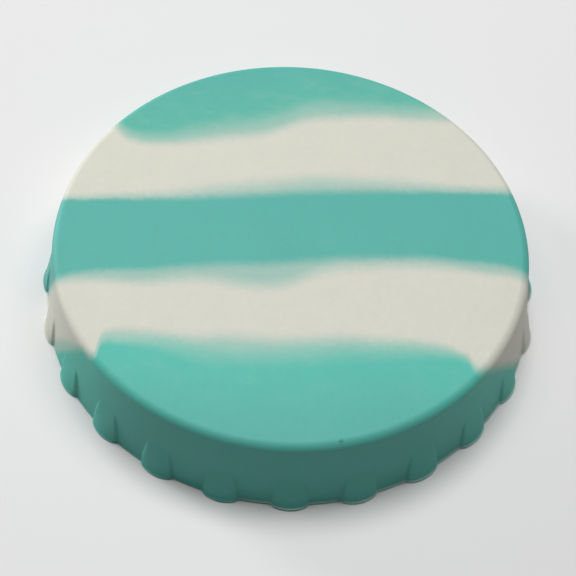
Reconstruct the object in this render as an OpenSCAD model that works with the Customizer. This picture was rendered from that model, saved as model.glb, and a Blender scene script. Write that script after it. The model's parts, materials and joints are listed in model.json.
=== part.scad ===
// Press-on lid for a drinks can, moulded in one piece from soft silicone.
// It has the shape of a crown cap: a flat top, a flared skirt and a ring of
// flutes round its foot. Underneath, a plug ring and a retaining bead hold
// the can's seam between them.
// Millimetres. The foot stands on z = 0, and Z is the lid's axis.

/* [Top] */
// Diameter across the shoulder, where the top edge turns into the skirt
top_d = 60.8; // [60:0.2:64]
// Thickness of the top
top_t = 2.2; // [1.6:0.1:3]
// Rounding of the top edge
edge_r = 1.4; // [0.6:0.1:2]

/* [Skirt] */
// Height of the whole lid
lid_h = 11; // [10.4:0.2:14]
// How much further out the skirt is at its foot than at the shoulder
flare = 1.8; // [1:0.05:2.4]
// Width of the flat land that the lid stands on, between two flutes
foot_land = 1.8; // [1.2:0.1:2.2]
// Chamfer round the inside of the foot
foot_chamfer = 0.3; // [0.1:0.1:0.6]

/* [Flutes] */
// Number of flutes round the foot
flute_count = 24; // [18:1:26]
// Width of a flute's flat crest
flute_flat = 0.6; // [0.2:0.1:2]
// Radius of the round flanks either side of the crest
flute_r = 3; // [1.6:0.1:4]
// How far a flute stands out of the skirt at the foot
flute_out = 0.8; // [0.5:0.05:1.2]
// Height at which a flute fades into the skirt
flute_h = 5; // [4:0.2:7]

/* [Can seat] */
// Bore that takes the can's seam
seam_d = 53.8; // [53:0.1:54.4]
// Height of the bore, from the underside of the top to the bead
seam_h = 2.8; // [2.4:0.1:3.2]
// Throat of the bead, which closes on the can's neck under the seam
neck_d = 52; // [51.4:0.1:52.6]
// Length of the throat
neck_l = 1; // [0.8:0.1:1.4]
// Slope of the bead's upper face, which holds the seam up
bead_slope = 0.6; // [0.3:0.1:1]

/* [Plug ring] */
// Width of the channel between the bore and the plug ring
channel_w = 1.7; // [1.3:0.1:2.2]
// Wall of the plug ring at its root
plug_t = 1.8; // [1.4:0.1:2.4]
// How far the plug ring hangs below the top
plug_h = 2.4; // [1.8:0.1:2.8]
// Draft of each side of the plug ring, from root to tip
plug_draft = 0.25; // [0.1:0.05:0.4]
// Rounding of the corner inside the plug ring
plug_fillet = 0.6; // [0.3:0.1:1]

/* [Hidden] */
$fn = 96;
silicone = [0.38, 0.71, 0.66];
through = 1; // how far a cutter or a root runs past the face that it meets
tip_sink = 0.05; // how deep a flute's tip lies in the skirt

top_r = top_d / 2;
foot_r = top_r + flare;
shoulder_z = lid_h - edge_r;
underside_z = lid_h - top_t;
bead_top_z = underside_z - seam_h;
throat_top_z = bead_top_z - bead_slope;
throat_foot_z = throat_top_z - neck_l;
mouth_r = foot_r - foot_land;
skirt_lean = atan(flare / shoulder_z); // angle between the skirt and the axis

// Radius of the skirt's outer face at a height, between its flutes
function skirt_r(z) = foot_r - flare * z / shoulder_z;

// The top and the skirt without flutes: half of the section, turned round Z
module crown_blank() {
    // the round edge is tangent to the top and to the leaning skirt
    edge_centre = [top_r - edge_r / cos(skirt_lean), shoulder_z];
    on_skirt = edge_centre + edge_r * [cos(skirt_lean), sin(skirt_lean)];
    rotate_extrude() {
        polygon([
            [0, 0],
            [foot_r, 0],
            on_skirt,
            edge_centre,
            [edge_centre[0], lid_h],
            [0, lid_h]
        ]);
        translate(edge_centre)
            circle(r = edge_r);
    }
}

// Section of a flute: a flat crest, on the Y axis, between two round flanks
module flute_section() {
    translate([-flute_r, -flute_flat / 2])
        square([flute_r, flute_flat]);
    for (side = [-1, 1])
        translate([-flute_r, side * flute_flat / 2])
            circle(r = flute_r);
}

// One flute: a bar whose crest runs from the skirt out to the foot. It goes on
// below the foot, which trims it.
module flute() {
    tip = [skirt_r(flute_h) - tip_sink, flute_h];
    crest = [foot_r + flute_out, 0] - tip;
    slant = norm(crest) + through;
    translate([tip[0], 0, tip[1]])
        rotate([0, -atan2(crest[0], -crest[1]), 0])
            translate([0, 0, -slant])
                linear_extrude(slant)
                    flute_section();
}

module flute_ring() {
    intersection() {
        union()
            for (i = [0 : flute_count - 1])
                rotate(i * 360 / flute_count)
                    flute();
        cylinder(r = foot_r + flute_out + through, h = underside_z);
    }
}

// The space that takes the can's seam, its neck and the start of its shoulder
module can_space() {
    rotate_extrude()
        polygon([
            [0, -through],
            [mouth_r + foot_chamfer + through, -through],
            [mouth_r + foot_chamfer, 0],
            [mouth_r, foot_chamfer],
            [neck_d / 2, throat_foot_z],
            [neck_d / 2, throat_top_z],
            [seam_d / 2, bead_top_z],
            [seam_d / 2, underside_z],
            [0, underside_z]
        ]);
}

// The ring that goes inside the can's rim, with a round tip
module plug_ring() {
    outer_r = seam_d / 2 - channel_w;
    inner_r = outer_r - plug_t;
    tip_r = plug_t / 2 - plug_draft;
    tip_z = underside_z - plug_h + tip_r;
    root_z = underside_z + top_t / 2;
    rotate_extrude() {
        polygon([
            [inner_r, root_z],
            [inner_r, underside_z],
            [inner_r + plug_draft, tip_z],
            [outer_r - plug_draft, tip_z],
            [outer_r, underside_z],
            [outer_r, root_z]
        ]);
        translate([inner_r + plug_t / 2, tip_z])
            circle(r = tip_r);
        difference() {
            translate([inner_r - plug_fillet, underside_z - plug_fillet])
                square([plug_fillet + plug_draft, plug_fillet + top_t / 2]);
            translate([inner_r - plug_fillet, underside_z - plug_fillet])
                circle(r = plug_fillet);
        }
    }
}

// The whole lid, one moulding
module lid() {
    color(silicone) {
        difference() {
            union() {
                crown_blank();
                flute_ring();
            }
            can_space();
        }
        plug_ring();
    }
}

lid();
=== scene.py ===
"""A press-on lid for a drinks can, moulded in teal and off-white silicone.

The lid is one moulding in the shape of a crown cap. Its half section is laid out
from named sizes, a Geometry Nodes tree turns it round the axis and raises the
flutes, and one procedural finish gives it its bands, haze and moulded skin.
Sizes are in millimetres and become metres where a mesh or a light is made.
"""

import json
import logging
import math
from dataclasses import dataclass, field
from enum import Enum

import bpy
from mathutils import Matrix, Vector


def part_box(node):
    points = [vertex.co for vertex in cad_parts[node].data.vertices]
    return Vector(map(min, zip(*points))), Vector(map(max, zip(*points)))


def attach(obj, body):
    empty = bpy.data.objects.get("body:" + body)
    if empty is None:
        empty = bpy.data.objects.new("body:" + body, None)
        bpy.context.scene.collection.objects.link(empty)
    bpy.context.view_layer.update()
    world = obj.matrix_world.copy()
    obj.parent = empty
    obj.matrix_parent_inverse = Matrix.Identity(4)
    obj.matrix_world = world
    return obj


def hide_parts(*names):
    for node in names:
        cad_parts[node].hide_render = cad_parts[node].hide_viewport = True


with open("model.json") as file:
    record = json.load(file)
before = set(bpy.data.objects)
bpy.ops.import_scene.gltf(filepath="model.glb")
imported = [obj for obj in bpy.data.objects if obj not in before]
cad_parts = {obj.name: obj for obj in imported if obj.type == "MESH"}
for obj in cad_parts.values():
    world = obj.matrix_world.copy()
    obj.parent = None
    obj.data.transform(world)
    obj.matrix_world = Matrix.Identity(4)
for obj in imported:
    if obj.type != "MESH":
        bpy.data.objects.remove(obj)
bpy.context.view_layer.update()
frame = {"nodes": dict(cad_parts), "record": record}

log = logging.getLogger("can_lid")

MM = 0.001
WELD_DISTANCE = 0.001 * MM
IMAGE_WIDTH_PX = 576


def solid_size(loaded: dict, node: str) -> tuple[float, float]:
    """Measures a solid of the frame.

    Args:
        node: The solid's name.

    Returns:
        Its height and its largest radius about the axis, in millimetres.
    """
    low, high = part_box(loaded["nodes"][node].name)
    return (high.z - low.z) / MM, high.x / MM


# --------------------------------------------------------------------------
# Nodes: arithmetic on sockets, and one way to add every other node
# --------------------------------------------------------------------------


class Value:
    """A number that a node gives out. Arithmetic on it adds Math nodes to its tree."""

    def __init__(self, maker: "NodeMaker", socket: bpy.types.NodeSocket) -> None:
        """Wraps an output socket of one of the maker's nodes."""
        self.maker = maker
        self.socket = socket

    def __add__(self, other: "Value | float") -> "Value":
        """Sum."""
        return self.maker.math("ADD", self, other)

    def __radd__(self, other: float) -> "Value":
        """Sum with a plain number on the left."""
        return self.maker.math("ADD", other, self)

    def __sub__(self, other: "Value | float") -> "Value":
        """Difference."""
        return self.maker.math("SUBTRACT", self, other)

    def __rsub__(self, other: float) -> "Value":
        """Difference with a plain number on the left."""
        return self.maker.math("SUBTRACT", other, self)

    def __mul__(self, other: "Value | float") -> "Value":
        """Product."""
        return self.maker.math("MULTIPLY", self, other)

    def __rmul__(self, other: float) -> "Value":
        """Product with a plain number on the left."""
        return self.maker.math("MULTIPLY", other, self)

    def __truediv__(self, other: "Value | float") -> "Value":
        """Quotient."""
        return self.maker.math("DIVIDE", self, other)

    def __rtruediv__(self, other: float) -> "Value":
        """Quotient with a plain number on the left."""
        return self.maker.math("DIVIDE", other, self)

    def __mod__(self, other: "Value | float") -> "Value":
        """Remainder, always of the divisor's sign."""
        return self.maker.math("FLOORED_MODULO", self, other)

    def root(self) -> "Value":
        """Square root."""
        return self.maker.math("SQRT", self)

    def floor(self) -> "Value":
        """Largest whole number that is not above it."""
        return self.maker.math("FLOOR", self)

    def sin(self) -> "Value":
        """Sine of an angle in radians."""
        return self.maker.math("SINE", self)

    def cos(self) -> "Value":
        """Cosine of an angle in radians."""
        return self.maker.math("COSINE", self)

    def at_least(self, other: "Value | float") -> "Value":
        """The larger of the two."""
        return self.maker.math("MAXIMUM", self, other)

    def at_most(self, other: "Value | float") -> "Value":
        """The smaller of the two."""
        return self.maker.math("MINIMUM", self, other)

    def soft_most(self, other: "Value | float", softness: "Value | float") -> "Value":
        """The larger of the two, with the crossing rounded over a width of softness."""
        gap = self - other
        return 0.5 * (self + other + (gap * gap + softness * softness).root())

    def soft_least(self, other: "Value | float", softness: "Value | float") -> "Value":
        """The smaller of the two, with the crossing rounded over a width of softness."""
        gap = self - other
        return 0.5 * (self + other - (gap * gap + softness * softness).root())

    def size(self) -> "Value":
        """Absolute value."""
        return self.maker.math("ABSOLUTE", self)

    def step(self, start: "Value | float", end: "Value | float") -> "Value":
        """Smooth step from 0 at start to 1 at end."""
        share = ((self - start) / (end - start)).at_least(0.0).at_most(1.0)
        return share * share * (3.0 - 2.0 * share)


class NodeMaker:
    """Adds nodes to one tree, of a material or of Geometry Nodes."""

    def __init__(self, tree: bpy.types.NodeTree) -> None:
        """Takes the tree that the nodes go into."""
        self.tree = tree

    def node(
        self,
        kind: str,
        settings: dict[str, object] | None = None,
        sockets: dict[str | int, object] | None = None,
    ) -> bpy.types.Node:
        """Adds a node.

        Args:
            kind: The node's type, such as "ShaderNodeMath".
            settings: Its properties. "curve" holds a float curve's points.
            sockets: Values or links, by the socket's identifier, name or place.

        Returns:
            The new node.
        """
        made = self.tree.nodes.new(kind)
        for name, value in (settings or {}).items():
            if name == "curve":
                self._shape_curve(made, value)
            else:
                setattr(made, name, value)
        for key, value in (sockets or {}).items():
            self._feed(self.find(made.inputs, key), value)
        return made

    def find(
        self, sockets: bpy.types.bpy_prop_collection, key: str | int
    ) -> bpy.types.NodeSocket:
        """Finds a socket by identifier, by name or by its place in the list."""
        if isinstance(key, int):
            return sockets[key]
        for socket in sockets:
            if socket.identifier == key:
                return socket
        return sockets[key]

    def value(self, node: bpy.types.Node, key: str | int = 0) -> Value:
        """One of a node's outputs, ready for arithmetic."""
        return Value(self, self.find(node.outputs, key))

    def math(self, operation: str, *terms: "Value | float") -> Value:
        """Adds one Math node on its terms."""
        made = self.node("ShaderNodeMath", {"operation": operation}, dict(enumerate(terms)))
        return self.value(made)

    def _feed(self, socket: bpy.types.NodeSocket, value: object) -> None:
        """Links a value's socket, or sets a plain value."""
        if isinstance(value, Value):
            value = value.socket
        if isinstance(value, bpy.types.NodeSocket):
            self.tree.links.new(value, socket)
        else:
            socket.default_value = value

    def _shape_curve(self, made: bpy.types.Node, points: list[tuple[float, float]]) -> None:
        """Gives a Float Curve node its points, which lie between 0 and 1 each way."""
        made.mapping.use_clip = False
        line = made.mapping.curves[0]
        while len(line.points) < len(points):
            line.points.new(0.5, 0.5)
        for point, place in zip(line.points, points):
            point.location = place
        made.mapping.update()


# --------------------------------------------------------------------------
# The lid's shape
# --------------------------------------------------------------------------


@dataclass(frozen=True)
class Corner:
    """A corner of the half section, with the rounding that it gets."""

    radius: float
    height: float
    rounding: float = 0.0
    fluted: bool = False


@dataclass(frozen=True)
class SectionPoint:
    """A point of the finished half section and its share of the flutes' relief."""

    radius: float
    height: float
    flute_share: float


@dataclass(frozen=True)
class Flutes:
    """The ring of flutes round the foot: arched pads that fade into the skirt.

    Lengths are in millimetres. A pad loses the share "narrowing" of its width on its
    way up, and "gather" draws the mesh's columns towards the pads' sides.
    """

    count: int = 24
    relief: float = 0.8
    height: float = 5.0
    foot_width: float = 4.6
    crest_radius: float = 4.6
    narrowing: float = 0.4
    flank_slope: float = 1.45
    crest_softness: float = 0.2
    crease_softness: float = 0.09
    steps_each: int = 44
    gather: float = 0.045


@dataclass
class CanLid:
    """The lid itself: half section, flutes and mesh. Sizes are in millimetres."""

    height: float
    largest_radius: float
    throat_radius: float
    throat_middle: float
    throat_length: float
    top_thickness: float = 2.2
    edge_rounding: float = 1.15
    flare: float = 1.75
    foot_land: float = 1.8
    lip_rounding: float = 0.15
    parting_height: float = 0.26
    parting_relief: float = 0.07
    parting_rounding: float = 0.04
    mouth_rounding: float = 0.3
    seam_radius: float = 26.9
    bead_slope: float = 0.6
    bead_rounding: float = 0.2
    channel: float = 1.7
    plug_wall: float = 1.8
    plug_depth: float = 2.4
    plug_draft: float = 0.25
    plug_tip_rounding: float = 0.55
    plug_root_rounding: float = 0.6
    flutes: Flutes = field(default_factory=Flutes)
    row_length: float = 0.35
    arc_step: float = 0.16
    least_arc_steps: int = 2
    index_guard: float = 0.00005

    @property
    def foot_radius(self) -> float:
        """Radius of the skirt at the foot, between two flutes and above the parting line."""
        return self.largest_radius - self.flutes.relief - self.parting_relief

    @property
    def shoulder_height(self) -> float:
        """Height at which the top's rounding meets the skirt."""
        return self.height - self.edge_rounding

    def skirt_radius(self, height: float) -> float:
        """Radius of the skirt between its flutes, at a height."""
        return self.foot_radius - self.flare * height / self.shoulder_height

    def corners(self) -> list[Corner]:
        """The half section's corners, from the middle of the top round to its underside."""
        underside = self.height - self.top_thickness
        line = self.parting_height
        plug_outer = self.seam_radius - self.channel
        plug_inner = plug_outer - self.plug_wall
        plug_tip = underside - self.plug_depth
        throat_foot = self.throat_middle - self.throat_length / 2
        throat_top = self.throat_middle + self.throat_length / 2
        return [
            Corner(0.0, self.height),
            Corner(self.skirt_radius(self.height), self.height, self.edge_rounding, True),
            Corner(self.skirt_radius(line), line, self.parting_rounding, True),
            Corner(self.foot_radius + self.parting_relief, line, self.parting_rounding, True),
            Corner(self.foot_radius + self.parting_relief, 0.0, self.lip_rounding, True),
            Corner(self.foot_radius - self.foot_land, 0.0, self.mouth_rounding),
            Corner(self.throat_radius, throat_foot, self.bead_rounding),
            Corner(self.throat_radius, throat_top, self.bead_rounding),
            Corner(self.seam_radius, throat_top + self.bead_slope, self.bead_rounding),
            Corner(self.seam_radius, underside, self.bead_rounding),
            Corner(plug_outer, underside, self.bead_rounding),
            Corner(plug_outer - self.plug_draft, plug_tip, self.plug_tip_rounding),
            Corner(plug_inner + self.plug_draft, plug_tip, self.plug_tip_rounding),
            Corner(plug_inner, underside, self.plug_root_rounding),
            Corner(0.0, underside),
        ]

    def section(self) -> list[SectionPoint]:
        """Rounds the corners and divides the straights.

        Returns:
            The half section's points, in order.
        """
        points: list[SectionPoint] = []
        corners = self.corners()
        for index, corner in enumerate(corners):
            before = corners[max(index - 1, 0)]
            after = corners[min(index + 1, len(corners) - 1)]
            for place in self._rounded(before, corner, after):
                self._append(points, place, 1.0 if corner.fluted else 0.0)
        return points

    def _rounded(self, before: Corner, corner: Corner, after: Corner) -> list[Vector]:
        """The points of one corner: the corner alone, or an arc tangent to both its sides."""
        here = Vector((corner.radius, corner.height))
        if corner.rounding == 0.0:
            return [here]
        back = (Vector((before.radius, before.height)) - here).normalized()
        on = (Vector((after.radius, after.height)) - here).normalized()
        half_angle = back.angle(on) / 2
        centre = here + (back + on).normalized() * (corner.rounding / math.sin(half_angle))
        setback = corner.rounding / math.tan(half_angle)
        start = here + back * setback - centre
        end = here + on * setback - centre
        turn = start.angle_signed(end)
        steps = max(self.least_arc_steps, math.ceil(abs(turn) * corner.rounding / self.arc_step))
        return [centre + Matrix.Rotation(-turn * i / steps, 2) @ start for i in range(steps + 1)]

    def _append(self, points: list[SectionPoint], place: Vector, share: float) -> None:
        """Adds a point, after dividing the straight that leads to it into rows."""
        if points:
            last = points[-1]
            gap = place - Vector((last.radius, last.height))
            on_skirt = last.flute_share > 0.0 and share > 0.0
            rows = math.ceil(gap.length / self.row_length) if on_skirt else 1
            for i in range(1, rows):
                points.append(SectionPoint(
                    last.radius + gap.x * i / rows,
                    last.height + gap.y * i / rows,
                    last.flute_share + (share - last.flute_share) * i / rows,
                ))
        points.append(SectionPoint(place.x, place.y, share))

    def section_mesh(self) -> bpy.types.Object:
        """An object whose mesh is the half section, which the tree turns round the axis."""
        points = self.section()
        mesh = bpy.data.meshes.new("lid_section")
        chain = [(i, i + 1) for i in range(len(points) - 1)]
        mesh.from_pydata([(p.radius * MM, 0.0, p.height * MM) for p in points], chain, [])
        share = mesh.attributes.new("flute_share", "FLOAT", "POINT")
        share.data.foreach_set("value", [p.flute_share for p in points])
        made = bpy.data.objects.new("lid_section", mesh)
        bpy.context.scene.collection.objects.link(made)
        return made

    def crown_tree(self) -> bpy.types.NodeTree:
        """Builds the tree that turns the section round the axis and raises the flutes."""
        tree = bpy.data.node_groups.new("crown_cap", "GeometryNodeTree")
        self._add_tree_sockets(tree.interface)
        make = NodeMaker(tree)
        given = make.node("NodeGroupInput")
        section = given.outputs["Section"]
        count = make.value(given, "Flutes")
        columns = count * make.value(given, "Steps each") + 1.0

        size = make.node("GeometryNodeAttributeDomainSize", {"component": "MESH"}, {0: section})
        rows = make.value(size, "Point Count")
        grid = make.node("GeometryNodeMeshGrid", {}, {"Vertices X": columns, "Vertices Y": rows})
        index = make.value(make.node("GeometryNodeInputIndex"))
        # The guard keeps a whole quotient from being rounded down.
        column = (index / rows + self.index_guard).floor()
        row = index - column * rows
        place = make.node("GeometryNodeInputPosition")
        share_name = make.node(
            "GeometryNodeInputNamedAttribute", {"data_type": "FLOAT"}, {"Name": "flute_share"}
        )
        on_section = make.node(
            "GeometryNodeSampleIndex",
            {"data_type": "FLOAT_VECTOR", "domain": "POINT"},
            {"Geometry": section, "Value": place.outputs[0], "Index": row},
        )
        share_there = make.node(
            "GeometryNodeSampleIndex",
            {"data_type": "FLOAT", "domain": "POINT"},
            {"Geometry": section, "Value": share_name.outputs["Attribute"], "Index": row},
        )
        split = make.node("ShaderNodeSeparateXYZ", {}, {0: on_section.outputs["Value"]})
        radius = make.value(split, "X")
        height = make.value(split, "Z")

        even = column / (columns - 1.0)
        gathered = make.value(given, "Gather") * (even * count * (2.0 * math.tau)).sin() / count
        turn = even + gathered
        angle = turn * math.tau
        relief = self._flute_relief(make, given, turn, height)
        reach = radius + relief * make.value(share_there, "Value")
        around = make.node(
            "ShaderNodeCombineXYZ",
            {},
            {"X": reach * angle.cos(), "Y": reach * angle.sin(), "Z": height},
        )
        turned = make.node(
            "GeometryNodeSetPosition",
            {},
            {"Geometry": grid.outputs["Mesh"], "Position": around.outputs[0]},
        )
        closed = make.node(
            "GeometryNodeMergeByDistance",
            {},
            {"Geometry": turned.outputs[0], "Distance": WELD_DISTANCE},
        )
        outward = make.node("GeometryNodeFlipFaces", {}, {"Mesh": closed.outputs[0]})
        smooth = make.node(
            "GeometryNodeSetShadeSmooth", {}, {"Geometry": outward.outputs[0], "Shade Smooth": True}
        )
        real = make.node("GeometryNodeRealizeInstances", {}, {"Geometry": smooth.outputs[0]})
        dressed = make.node(
            "GeometryNodeSetMaterial",
            {},
            {"Geometry": real.outputs[0], "Material": given.outputs["Finish"]},
        )
        make.node("NodeGroupOutput", {}, {"Lid": dressed.outputs[0]})
        return tree

    def _add_tree_sockets(self, face: bpy.types.NodeTreeInterface) -> None:
        """Gives the tree its inputs, one for each size that it works from, and its output."""
        face.new_socket("Section", in_out="INPUT", socket_type="NodeSocketGeometry")
        face.new_socket("Flutes", in_out="INPUT", socket_type="NodeSocketInt")
        face.new_socket("Steps each", in_out="INPUT", socket_type="NodeSocketInt")
        for name in (
            "Foot radius", "Relief", "Flute height", "Flute width", "Crest radius", "Narrowing",
            "Flank slope", "Crest softness", "Crease softness", "Gather",
        ):
            face.new_socket(name, in_out="INPUT", socket_type="NodeSocketFloat")
        face.new_socket("Finish", in_out="INPUT", socket_type="NodeSocketMaterial")
        face.new_socket("Lid", in_out="OUTPUT", socket_type="NodeSocketGeometry")

    def _flute_relief(
        self, make: NodeMaker, given: bpy.types.Node, turn: Value, height: Value
    ) -> Value:
        """How far the flutes stand out of the skirt.

        Args:
            make: Adds the nodes to the tree.
            given: The tree's inputs.
            turn: Where round the axis, from 0 to 1. The first crest is at 0.
            height: How far up the skirt.

        Returns:
            The relief there, a length.
        """
        count = make.value(given, "Flutes")
        off_crest = (turn * count + 0.5) % 1.0 - 0.5
        across = off_crest * math.tau * make.value(given, "Foot radius") / count
        rise = (height / make.value(given, "Flute height")).at_least(0.0).at_most(1.0)
        drop = across * across / (2.0 * make.value(given, "Crest radius"))
        crest = (make.value(given, "Relief") - drop * (1.0 - rise)) * (1.0 - rise)
        half_width = 0.5 * make.value(given, "Flute width")
        half_width = half_width * (1.0 - make.value(given, "Narrowing") * rise * rise)
        flank = (half_width - across.size()) * make.value(given, "Flank slope")
        pad = crest.soft_least(flank, make.value(given, "Crest softness") * (1.0 - rise))
        return pad.soft_most(0.0, make.value(given, "Crease softness") * (1.0 - rise))

    def build(self, finish: bpy.types.Material) -> bpy.types.Object:
        """Makes the lid's mesh.

        Args:
            finish: The material that the lid is dressed with.

        Returns:
            The lid as a plain mesh at the origin.
        """
        holder = self.section_mesh()
        tree = self.crown_tree()
        modifier = holder.modifiers.new("crown", "NODES")
        modifier.node_group = tree
        sizes = {
            "Flutes": self.flutes.count,
            "Steps each": self.flutes.steps_each,
            "Foot radius": self.foot_radius * MM,
            "Relief": self.flutes.relief * MM,
            "Flute height": self.flutes.height * MM,
            "Flute width": self.flutes.foot_width * MM,
            "Crest radius": self.flutes.crest_radius * MM,
            "Narrowing": self.flutes.narrowing,
            "Flank slope": self.flutes.flank_slope,
            "Crest softness": self.flutes.crest_softness * MM,
            "Crease softness": self.flutes.crease_softness * MM,
            "Gather": self.flutes.gather,
            "Finish": finish,
        }
        for item in tree.interface.items_tree:
            if item.name in sizes:
                modifier[item.identifier] = sizes[item.name]
        bpy.context.view_layer.update()
        graph = bpy.context.evaluated_depsgraph_get()
        mesh = bpy.data.meshes.new_from_object(holder.evaluated_get(graph))
        mesh.name = "crown_lid"
        # A grid brings an empty slot with it, so the finish is made the only one.
        mesh.materials.clear()
        mesh.materials.append(finish)
        holder.modifiers.remove(modifier)
        bpy.data.objects.remove(holder)
        lid = bpy.data.objects.new("crown_lid", mesh)
        bpy.context.scene.collection.objects.link(lid)
        return lid


# --------------------------------------------------------------------------
# The lid's finish
# --------------------------------------------------------------------------


Route = tuple[tuple[float, float], ...]
Colour = tuple[float, float, float]
Paint = Colour | bpy.types.NodeSocket


@dataclass(frozen=True)
class BandEdge:
    """Where teal gives way to white: y against x on the top, in millimetres.

    The teal thins out twice. Its body ends at the solid line, and a veil of it goes
    on to the veil line. Each line is a soft step, sharper at the lid's sides.
    """

    white_side: float
    solid: Route
    veil: Route
    solid_softness: tuple[float, float]
    veil_softness: tuple[float, float]
    veil_share: float = 0.5


@dataclass(frozen=True)
class LipHighlightAndShade:
    """A painted highlight, a pale line along the parting ridge on the lip, and painted shade on the
    lip under it.
    """

    # The pale colour is painted on the ridge as a highlight, only from a little left of the middle
    # to the right, and the lip under the ridge is darkened as painted shade.
    colour: Colour = (0.46, 0.64, 0.58)
    share: float = 0.55
    foot: float = 0.24
    crown: float = 0.44
    softness: float = 0.08
    starts: float = -9.0
    whole: float = -3.0
    lip_shade_tone: float = 0.7


@dataclass(frozen=True)
class DarkSpot:
    """A small dark spot on the rounded edge."""

    place: tuple[float, float, float] = (5.44, -29.12, 10.85)
    radius: float = 0.42
    core: float = 0.3
    share: float = 0.6
    colour: Colour = (0.03, 0.20, 0.17)


@dataclass(frozen=True)
class Mottle:
    """Noise that sways a value evenly to both sides."""

    per_mm: float
    detail: float
    swing: float


@dataclass(frozen=True)
class Patches:
    """Noise cut into soft patches, which start at one level of it and are whole at another."""

    per_mm: float
    detail: float
    starts: float
    whole: float


@dataclass(frozen=True)
class Skin:
    """The moulded surface: fine grain over a slower swell."""

    grain_per_mm: float = 5.0
    swell_per_mm: float = 0.5
    detail: float = 2.0
    swell_share: float = 2.0
    bump_strength: float = 0.12
    bump_depth: float = 0.1
    roughness: float = 0.58
    roughness_swing: float = 0.06
    specular: float = 0.3


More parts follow.
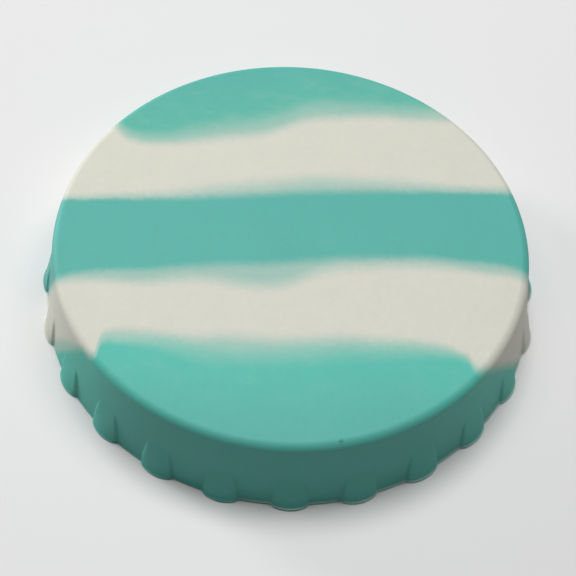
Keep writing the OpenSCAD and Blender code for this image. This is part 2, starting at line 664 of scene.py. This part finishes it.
@dataclass(frozen=True)
class BandedSilicone:
    """Matt silicone in two colours that ran into each other in the mould.

    Lengths are in millimetres. Down the skirt and through the wall the bands drift
    towards the back, by "drift_per_mm" for each millimetre below the top.
    """

    top_height: float
    teal: Colour = (0.088, 0.416, 0.360)
    front_teal: Colour = (0.083, 0.486, 0.396)
    back_teal: Colour = (0.100, 0.446, 0.358)
    fresh_depth: float = 13.0
    fresh_onset: float = 3.0
    white: Colour = (0.64, 0.64, 0.555)
    white_level: float = 0.987
    reach: float = 34.0
    calm_inside: float = 8.0
    calm_outside: float = 24.0
    drift_per_mm: float = 0.62
    noise_roughness: float = 0.55
    wander: Mottle = Mottle(0.35, 2.0, 0.3)
    fray: Mottle = Mottle(1.6, 2.0, 0.5)
    speckle: Mottle = Mottle(1.3, 3.0, 0.07)
    teal_cloud: Mottle = Mottle(0.12, 3.0, 0.08)
    white_cloud: Mottle = Mottle(0.2, 4.0, 0.05)
    streaks: Patches = Patches(0.6, 4.0, 0.42, 0.75)
    streak_stretch: tuple[float, float, float] = (0.6, 1.0, 1.0)
    back_paleness: float = 0.075
    front_paleness: float = 0.045
    scuffs: Patches = Patches(0.55, 5.0, 0.55, 0.72)
    scuff_paleness: float = 0.022
    skin: Skin = Skin()
    # Painted highlight and painted shade along the lip.
    lip_light: LipHighlightAndShade = LipHighlightAndShade()
    dark_spot: DarkSpot = DarkSpot()
    back_edge: BandEdge = BandEdge(
        white_side=-1.0,
        solid=(
            (-34.0, 27.0), (-24.5, 19.6), (-22.6, 17.4), (-20.5, 16.3), (-17.0, 16.1),
            (-14.0, 16.9), (-10.0, 17.8), (-6.0, 18.7), (-2.0, 19.9), (0.0, 20.8), (3.0, 22.0),
            (8.0, 22.3), (18.0, 22.1), (34.0, 23.5),
        ),
        veil=(
            (-34.0, 26.0), (-24.0, 17.6), (-22.2, 15.6), (-20.0, 14.9), (-16.0, 14.9),
            (-12.0, 15.5), (-8.0, 16.3), (-4.0, 16.8), (-2.0, 17.7), (2.0, 19.5), (6.0, 20.1),
            (12.0, 20.5), (17.0, 20.1), (34.0, 21.5),
        ),
        solid_softness=(1.2, 2.7),
        veil_softness=(0.8, 1.3),
    )
    middle_back_edge: BandEdge = BandEdge(
        white_side=1.0,
        solid=(
            (-34.0, 4.7), (-28.0, 4.9), (-22.0, 5.15), (-16.0, 5.4), (-10.0, 5.9), (-4.0, 6.4),
            (2.0, 7.0), (8.0, 7.3), (14.0, 7.4), (34.0, 7.35),
        ),
        veil=(
            (-34.0, 5.3), (-28.0, 5.45), (-22.0, 5.9), (-16.0, 6.35), (-12.0, 7.0), (-6.0, 7.95),
            (0.0, 8.8), (3.0, 9.3), (8.0, 9.1), (14.0, 8.85), (22.0, 8.4), (34.0, 8.1),
        ),
        solid_softness=(0.45, 1.0),
        veil_softness=(0.8, 1.7),
    )
    middle_front_edge: BandEdge = BandEdge(
        white_side=-1.0,
        solid=(
            (-34.0, -10.2), (-30.0, -8.2), (-28.0, -7.05), (-26.0, -6.5), (-22.0, -6.1),
            (-18.0, -5.95), (-14.0, -5.45), (-10.0, -5.05), (-2.0, -4.7), (2.0, -4.25),
            (6.0, -3.75), (12.0, -3.5), (18.0, -3.35), (22.0, -3.8), (26.0, -4.2),
            (28.0, -4.7), (30.0, -5.9), (34.0, -8.3),
        ),
        veil=(
            (-34.0, -11.4), (-28.0, -8.0), (-24.0, -7.65), (-18.0, -7.85), (-14.0, -7.3),
            (-10.0, -7.25), (-6.0, -7.95), (-3.0, -8.05), (0.0, -7.4), (2.0, -6.35),
            (5.0, -5.3), (8.0, -4.85), (18.0, -4.65), (24.0, -5.45), (28.0, -6.0),
            (30.0, -7.2), (34.0, -9.6),
        ),
        solid_softness=(0.7, 1.1),
        veil_softness=(1.0, 1.6),
        veil_share=0.57,
    )
    front_edge: BandEdge = BandEdge(
        white_side=1.0,
        solid=(
            (-34.0, -18.6), (-26.5, -17.9), (-25.0, -17.9), (-24.2, -18.7), (-23.2, -18.7),
            (-22.85, -17.0), (-22.3, -16.4), (-21.0, -16.4), (-18.0, -16.5), (-14.0, -16.85),
            (-8.0, -17.7), (-4.0, -17.75), (2.0, -17.35), (6.0, -16.95), (14.0, -17.0),
            (18.0, -17.4), (20.0, -17.8), (20.9, -18.3), (21.35, -19.4), (21.9, -19.9),
            (23.0, -19.9), (25.3, -19.5), (34.0, -19.2),
        ),
        veil=(
            (-34.0, -17.2), (-25.0, -17.2), (-24.3, -17.9), (-23.4, -18.0), (-23.05, -16.2),
            (-22.6, -15.3), (-21.5, -14.9), (-20.0, -14.8), (-16.0, -15.1), (-12.0, -15.75),
            (-8.0, -15.45), (-4.0, -15.75), (0.0, -15.8), (6.0, -15.5), (12.0, -15.75),
            (16.0, -15.9), (18.0, -16.2), (20.0, -17.1), (21.0, -17.5), (21.5, -18.6),
            (22.1, -19.1), (23.0, -19.1), (25.3, -18.7), (34.0, -18.3),
        ),
        solid_softness=(0.7, 2.6),
        veil_softness=(0.7, 1.5),
    )

    def build(self) -> bpy.types.Material:
        """Makes the material."""
        material = bpy.data.materials.new("banded_silicone")
        material.use_nodes = True
        tree = material.node_tree
        tree.nodes.clear()
        make = NodeMaker(tree)
        place = make.node("ShaderNodeTexCoord").outputs["Object"]
        in_mm = make.node(
            "ShaderNodeVectorMath", {"operation": "SCALE"}, {0: place, "Scale": 1.0 / MM}
        ).outputs[0]
        skin = self.skin
        grain = self._noise(make, in_mm, skin.grain_per_mm, skin.detail)
        swell = self._noise(make, in_mm, skin.swell_per_mm, skin.detail)
        bump = make.node(
            "ShaderNodeBump",
            {},
            {
                "Strength": skin.bump_strength,
                "Distance": skin.bump_depth * MM,
                "Height": grain + swell * skin.swell_share,
            },
        )
        shader = make.node(
            "ShaderNodeBsdfPrincipled",
            {},
            {
                "Base Color": self._colour(make, in_mm),
                "Roughness": skin.roughness + skin.roughness_swing * (swell - 0.5),
                "Normal": bump.outputs[0],
                "Specular IOR Level": skin.specular,
            },
        )
        make.node("ShaderNodeOutputMaterial", {}, {"Surface": shader.outputs[0]})
        return material

    def _colour(self, make: NodeMaker, in_mm: bpy.types.NodeSocket) -> bpy.types.NodeSocket:
        """The colour at a place: the bands with their mottling, the painted highlight and painted
        shade at the lip, and the dark spot.
        """
        split = make.node("ShaderNodeSeparateXYZ", {}, {0: in_mm})
        x = make.value(split, "X")
        z = make.value(split, "Z")
        drift = (self.top_height - z) * self.drift_per_mm
        sway = self._swayed(make, in_mm, self.wander) + self._swayed(make, in_mm, self.fray)
        y = make.value(split, "Y") - drift + sway

        behind = self._fresh_share(make, y - self._follow(make, self.back_edge.solid, x))
        ahead = self._fresh_share(make, self._follow(make, self.front_edge.solid, x) - y)
        stretched = make.node(
            "ShaderNodeVectorMath", {"operation": "MULTIPLY"}, {0: in_mm, 1: self.streak_stretch}
        ).outputs[0]
        streaks = self._patched(make, stretched, self.streaks)
        pale = streaks * (self.back_paleness * behind + self.front_paleness * ahead)
        white = self._white_share(make, x, y)
        white = white + pale * (1.0 - white)

        teal = self._mixed(make, behind, self.teal, self.back_teal)
        teal = self._mixed(make, ahead, teal, self.front_teal)
        speckle = self._swayed(make, in_mm, self.speckle)
        teal_tone = 1.0 + self._swayed(make, in_mm, self.teal_cloud) + speckle
        scuffs = self._patched(make, in_mm, self.scuffs) * self.scuff_paleness
        clouds = self._swayed(make, in_mm, self.white_cloud)
        white_tone = self.white_level + clouds + scuffs + speckle
        toned_teal = self._scaled(make, teal, teal_tone)
        toned_white = self._scaled(make, self.white, white_tone)
        banded = self._mixed(make, white, toned_teal, toned_white)
        return self._spotted(make, self._painted_lip_light(make, banded, x, z), in_mm)

    def _white_share(self, make: NodeMaker, x: Value, y: Value) -> Value:
        """Share of white at a place: two white bands between three teal ones."""
        back = self._past(make, self.back_edge, x, y)
        middle_back = self._past(make, self.middle_back_edge, x, y)
        middle_front = self._past(make, self.middle_front_edge, x, y)
        front = self._past(make, self.front_edge, x, y)
        return back * middle_back + middle_front * front

    def _past(self, make: NodeMaker, edge: BandEdge, x: Value, y: Value) -> Value:
        """How far a place is past an edge, from 0 in the teal to 1 in the white."""
        calm = 1.0 - x.size().step(self.calm_inside, self.calm_outside)
        halves = []
        for route, (at_sides, amid) in (
            (edge.solid, edge.solid_softness),
            (edge.veil, edge.veil_softness),
        ):
            width = at_sides + (amid - at_sides) * calm
            distance = (y - self._follow(make, route, x)) * edge.white_side
            halves.append((distance / width).step(-1.0, 1.0))
        return (1.0 - edge.veil_share) * halves[0] + edge.veil_share * halves[1]

    def _fresh_share(self, make: NodeMaker, beyond: Value) -> Value:
        """Share of the fresher teal at a distance into the teal, from a band's edge."""
        fading = 1.0 - beyond.step(0.0, self.fresh_depth)
        return fading * beyond.step(-self.fresh_onset, 0.0)

    def _painted_lip_light(
        self, make: NodeMaker, colour: bpy.types.NodeSocket, x: Value, z: Value
    ) -> bpy.types.NodeSocket:
        """The colour with a painted highlight along the parting ridge and painted shade on the lip
        under it.
        """
        lip_light = self.lip_light
        above = z.step(lip_light.foot - lip_light.softness, lip_light.foot)
        below = 1.0 - z.step(lip_light.crown, lip_light.crown + lip_light.softness)
        there = x.step(lip_light.starts, lip_light.whole)
        # Painted shade: the lip under the ridge is darkened.
        lip_shade_tone = 1.0 - (1.0 - lip_light.lip_shade_tone) * (1.0 - above)
        lip_shaded = self._scaled(make, colour, lip_shade_tone)
        # Painted highlight: a pale tint along the ridge, on the right side of the lid only.
        return self._mixed(make, lip_light.share * above * below * there, lip_shaded, lip_light.colour)

    def _spotted(
        self, make: NodeMaker, colour: bpy.types.NodeSocket, in_mm: bpy.types.NodeSocket
    ) -> bpy.types.NodeSocket:
        """The colour with the dark spot in it."""
        dark_spot = self.dark_spot
        away = make.node(
            "ShaderNodeVectorMath", {"operation": "DISTANCE"}, {0: in_mm, 1: dark_spot.place}
        )
        share = 1.0 - make.value(away, "Value").step(dark_spot.core * dark_spot.radius, dark_spot.radius)
        return self._mixed(make, dark_spot.share * share, colour, dark_spot.colour)

    def _follow(self, make: NodeMaker, route: Route, x: Value) -> Value:
        """A route's y at x."""
        span = 2.0 * self.reach
        points = [((px + self.reach) / span, (py + self.reach) / span) for px, py in route]
        curve = make.node(
            "ShaderNodeFloatCurve",
            {"curve": points},
            {"Factor": 1.0, "Value": (x + self.reach) / span},
        )
        return make.value(curve) * span - self.reach

    def _swayed(self, make: NodeMaker, in_mm: bpy.types.NodeSocket, mottle: Mottle) -> Value:
        """A mottle's value at a place, about 0."""
        return (self._noise(make, in_mm, mottle.per_mm, mottle.detail) - 0.5) * mottle.swing

    def _patched(self, make: NodeMaker, in_mm: bpy.types.NodeSocket, patches: Patches) -> Value:
        """Share of patches at a place, from 0 to 1."""
        noise = self._noise(make, in_mm, patches.per_mm, patches.detail)
        return noise.step(patches.starts, patches.whole)

    def _noise(
        self, make: NodeMaker, in_mm: bpy.types.NodeSocket, per_mm: float, detail: float
    ) -> Value:
        """Noise in millimetre coordinates, about 0.5."""
        made = make.node(
            "ShaderNodeTexNoise",
            {},
            {
                "Vector": in_mm,
                "Scale": per_mm,
                "Detail": detail,
                "Roughness": self.noise_roughness,
            },
        )
        return make.value(made)

    def _mixed(
        self, make: NodeMaker, share: Value, first: Paint, second: Paint
    ) -> bpy.types.NodeSocket:
        """Mixes two colours, each a socket or a plain colour."""
        made = make.node(
            "ShaderNodeMix",
            {"data_type": "RGBA"},
            {"Factor_Float": share, "A_Color": self._opaque(first), "B_Color": self._opaque(second)},
        )
        return make.find(made.outputs, "Result_Color")

    def _opaque(self, colour: Paint) -> tuple[float, ...] | bpy.types.NodeSocket:
        """Gives a plain colour its fourth number, and passes a socket on."""
        return (*colour, 1.0) if isinstance(colour, tuple) else colour

    def _scaled(self, make: NodeMaker, colour: Paint, tone: Value) -> bpy.types.NodeSocket:
        """A colour made lighter or darker by a factor."""
        made = make.node("ShaderNodeVectorMath", {"operation": "SCALE"}, {0: colour, "Scale": tone})
        return made.outputs[0]


# --------------------------------------------------------------------------
# Studio and camera
# --------------------------------------------------------------------------


class Softbox(Enum):
    """The studio's lights: place and size in metres, watts, and where it points."""

    BACK = ((-0.05, 0.35, 0.93), 0.40, 5.3)
    OVERHEAD = ((-0.05, 0.03, 1.00), 0.40, 1.6)
    LEFT = ((-0.40, 0.20, 0.90), 0.40, 1.2)
    RIGHT = ((0.40, 0.20, 0.90), 0.40, 2.05)
    LOW_LEFT = ((-0.60, 0.42, 0.15), 0.20, 2.8)


@dataclass(frozen=True)
class Studio:
    """A plain pale floor under soft light."""

    floor_size: float = 6.0
    floor_tone: float = 0.75
    floor_roughness: float = 0.9
    air_tone: float = 1.0
    air_strength: float = 0.005

    def build(self) -> bpy.types.Object:
        """Makes the floor, the air and the lights, and returns the floor."""
        scene = bpy.context.scene
        scene.view_settings.view_transform = "Standard"
        scene.view_settings.look = "None"
        world = bpy.data.worlds.new("studio_air")
        world.use_nodes = True
        world.node_tree.nodes.clear()
        make = NodeMaker(world.node_tree)
        air = make.node(
            "ShaderNodeBackground",
            {},
            {"Color": (self.air_tone,) * 3 + (1.0,), "Strength": self.air_strength},
        )
        make.node("ShaderNodeOutputWorld", {}, {"Surface": air.outputs[0]})
        scene.world = world
        for softbox in Softbox:
            self._light(softbox)
        return self._floor()

    def _light(self, softbox: Softbox) -> None:
        """Hangs one softbox, turned to the lid."""
        place, size, watts = softbox.value
        data = bpy.data.lights.new(softbox.name.lower(), "AREA")
        data.shape = "DISK"
        data.size = size
        data.energy = watts
        made = bpy.data.objects.new(softbox.name.lower(), data)
        made.location = place
        made.rotation_euler = (-Vector(place)).to_track_quat("-Z", "Y").to_euler()
        bpy.context.scene.collection.objects.link(made)

    def _floor(self) -> bpy.types.Object:
        """Lays the floor just under the lid's foot."""
        half = self.floor_size / 2
        mesh = bpy.data.meshes.new("studio_floor")
        corners = [(-half, -half, 0.0), (half, -half, 0.0), (half, half, 0.0), (-half, half, 0.0)]
        mesh.from_pydata(corners, [], [(0, 1, 2, 3)])
        material = bpy.data.materials.new("pale_floor")
        material.use_nodes = True
        material.node_tree.nodes.clear()
        make = NodeMaker(material.node_tree)
        shader = make.node(
            "ShaderNodeBsdfPrincipled",
            {},
            {
                "Base Color": (self.floor_tone,) * 3 + (1.0,),
                "Roughness": self.floor_roughness,
            },
        )
        make.node("ShaderNodeOutputMaterial", {}, {"Surface": shader.outputs[0]})
        mesh.materials.append(material)
        floor = bpy.data.objects.new("studio_floor", mesh)
        bpy.context.scene.collection.objects.link(floor)
        return floor


@dataclass(frozen=True)
class ViewCamera:
    """The camera: it looks down on the lid from the front.

    Target, distance and sensor are in millimetres, the clip limits in metres and the
    angles in degrees.
    """

    target: tuple[float, float, float] = (-0.55, -8.31, 11.0)
    distance: float = 141.0
    azimuth: float = -3.18
    elevation: float = 55.59
    roll: float = 3.73
    focal_px: float = 1145.0
    sensor: float = 36.0
    clip_near: float = 0.01
    clip_far: float = 20.0

    def build(self) -> bpy.types.Object:
        """Makes the camera and gives it to the scene."""
        data = bpy.data.cameras.new("view")
        data.sensor_width = self.sensor
        data.lens = self.sensor * self.focal_px / IMAGE_WIDTH_PX
        data.clip_start = self.clip_near
        data.clip_end = self.clip_far
        camera = bpy.data.objects.new("view", data)
        around = math.radians(self.azimuth)
        down = math.radians(self.elevation)
        back = Vector((
            math.sin(around) * math.cos(down),
            -math.cos(around) * math.cos(down),
            math.sin(down),
        ))
        turn = (-back).to_track_quat("-Z", "Y").to_matrix()
        turn = turn @ Matrix.Rotation(math.radians(self.roll), 3, "Z")
        place = (Vector(self.target) + back * self.distance) * MM
        camera.matrix_world = Matrix.Translation(place) @ turn.to_4x4()
        bpy.context.scene.collection.objects.link(camera)
        bpy.context.scene.camera = camera
        return camera


def main() -> None:
    """Builds the camera, the studio and the lid."""
    logging.basicConfig(level=logging.INFO, format="%(name)s: %(message)s")
    ViewCamera().build()
    floor = Studio().build()
    height, radius = solid_size(frame, "lid")
    neck = next(m for m in frame["record"]["mounts"] if m["name"] == "can_neck")
    lid_form = CanLid(
        height=height,
        largest_radius=radius,
        throat_radius=neck["dims"]["r_mm"],
        throat_middle=neck["pos_m"][2] / MM,
        throat_length=neck["dims"]["length_mm"],
    )
    lid = lid_form.build(BandedSilicone(top_height=height).build())
    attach(lid, "root")
    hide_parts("lid")
    log.info("%s: %d faces", lid.name, len(lid.data.polygons))


if __name__ == "__main__":
    main()
